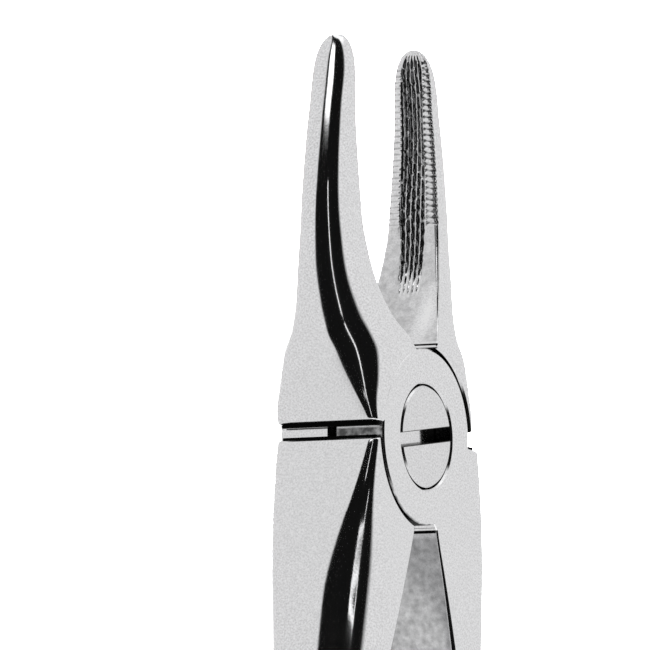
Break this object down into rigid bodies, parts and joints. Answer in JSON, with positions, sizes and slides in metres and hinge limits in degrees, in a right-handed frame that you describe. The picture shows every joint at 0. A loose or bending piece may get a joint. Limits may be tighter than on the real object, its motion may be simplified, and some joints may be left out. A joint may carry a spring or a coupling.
{
  "type": "dental extraction forceps",
  "caption": "Hand forceps with two hollowed, serrated beaks, a lap joint on a slotted pivot screw and long curved handles, for gripping and lifting out an upper tooth.",
  "frame": {"origin": "on the pivot axis, in the plane of the joint's back face, on which the forceps lies", "axes": "+X to the right with the screw's slotted head up, +Y along the beaks, away from the handles, +Z along the pivot axis, out of the screw's slotted head"},
  "size_m": [0.0732, 0.1743, 0.0117],
  "materials": {
    "forged_steel": "satin-polished stainless steel",
    "screw_steel": "satin-polished stainless steel, turned"
  },
  "bodies": {
    "rear_body": {"rear_half": "forged_steel", "pivot_screw": "screw_steel"},
    "front_body": {"front_half": "forged_steel"}
  },
  "joints": [
    {"name": "pivot", "type": "hinge", "parent": "rear_body", "child": "front_body", "pos_m": [0, 0, 0.00585], "axis": [0, 0, 1], "range_deg": [-20.5, 5.3]}
  ]
}
